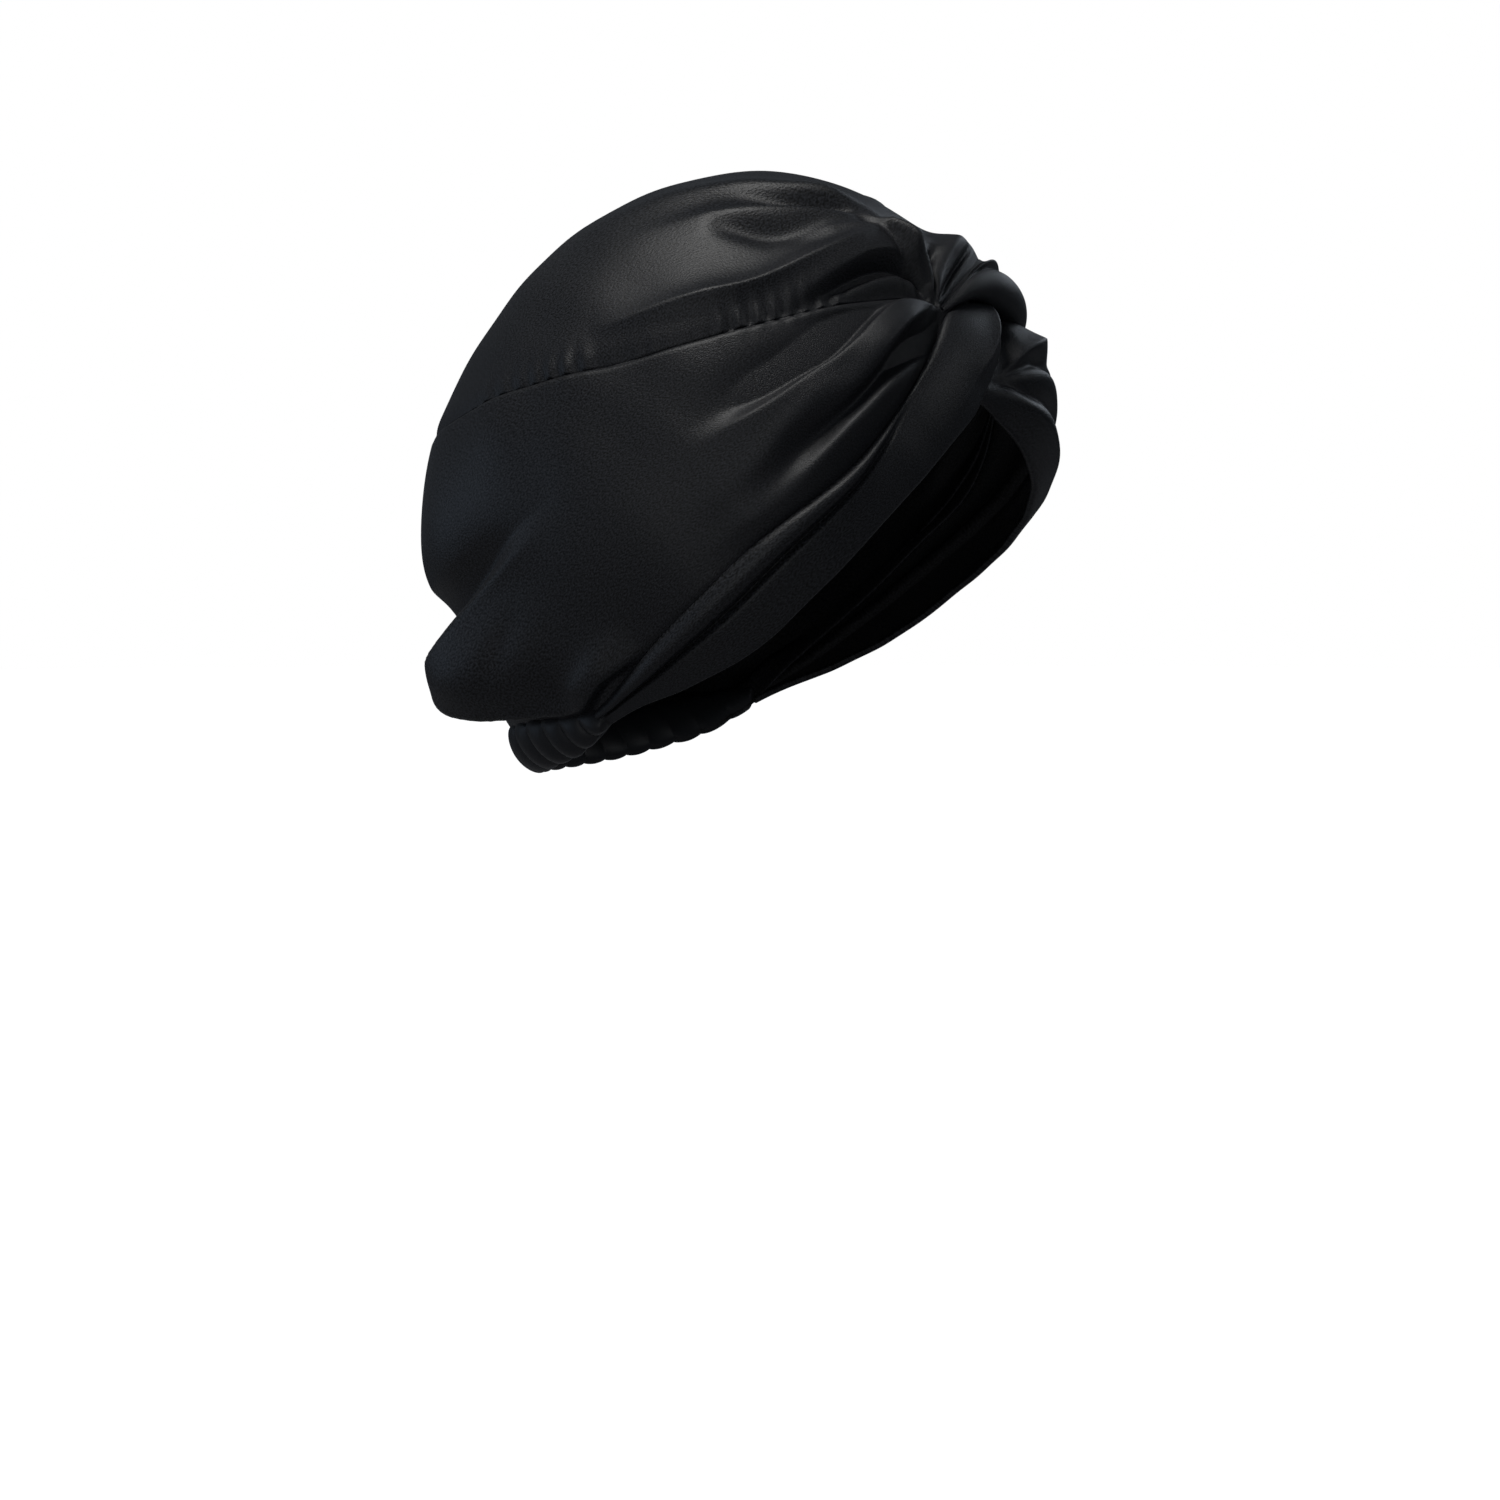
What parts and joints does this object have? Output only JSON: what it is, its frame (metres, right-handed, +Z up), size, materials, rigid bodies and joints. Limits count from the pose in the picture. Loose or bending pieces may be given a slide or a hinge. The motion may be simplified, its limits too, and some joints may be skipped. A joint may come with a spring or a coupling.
{
  "type": "turban headwrap",
  "caption": "Soft satin turban in its worn form: a sewn crown and side panels, a twist over the forehead, folded face bands and a gathered nape casing.",
  "frame": {"origin": "the place inside the top of the crown where the top of the wearer's head touches it", "axes": "+Z up; the face looks along -Y; the wearer's right is -X"},
  "size_m": [0.1651, 0.2062, 0.1915],
  "materials": {
    "satin": "soft black satin with a low, broad sheen"
  },
  "bodies": {
    "root": {"crown_top": "satin", "side_panel_right": "satin", "side_panel_left": "satin", "band_right": "satin", "band_left": "satin", "nape_casing": "satin"}
  },
  "joints": []
}
